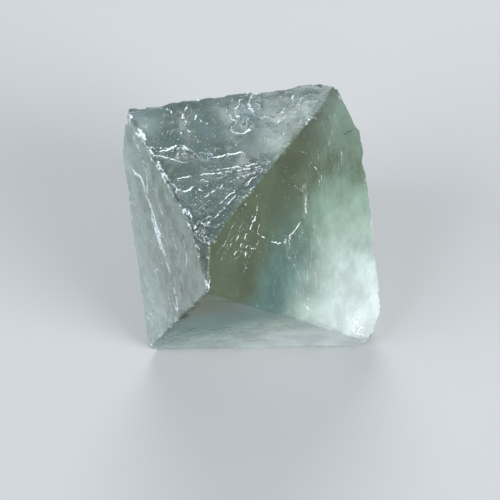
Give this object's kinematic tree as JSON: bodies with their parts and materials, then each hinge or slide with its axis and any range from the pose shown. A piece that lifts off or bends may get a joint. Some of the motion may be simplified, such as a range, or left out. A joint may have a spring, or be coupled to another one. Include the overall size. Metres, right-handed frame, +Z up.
{
  "type": "fluorite octahedron",
  "caption": "Hand-cleaved pale green octahedral crystal with uneven faces, broken corners, cleavage steps and chipped ridges, lying on one flat face.",
  "frame": {"origin": "on the surface the crystal lies on, under the middle of its bounding box", "axes": "+Z up, away from the cleavage face it lies on. -Y is the front: the side with the two steep faces and the short ridge between them"},
  "size_m": [0.0296, 0.0286, 0.0259],
  "materials": {
    "fluorite": "clear pale green crystal, frosted where it is rubbed, with white chipped ridges"
  },
  "bodies": {
    "root": {"fluorite_crystal": "fluorite"}
  },
  "joints": []
}
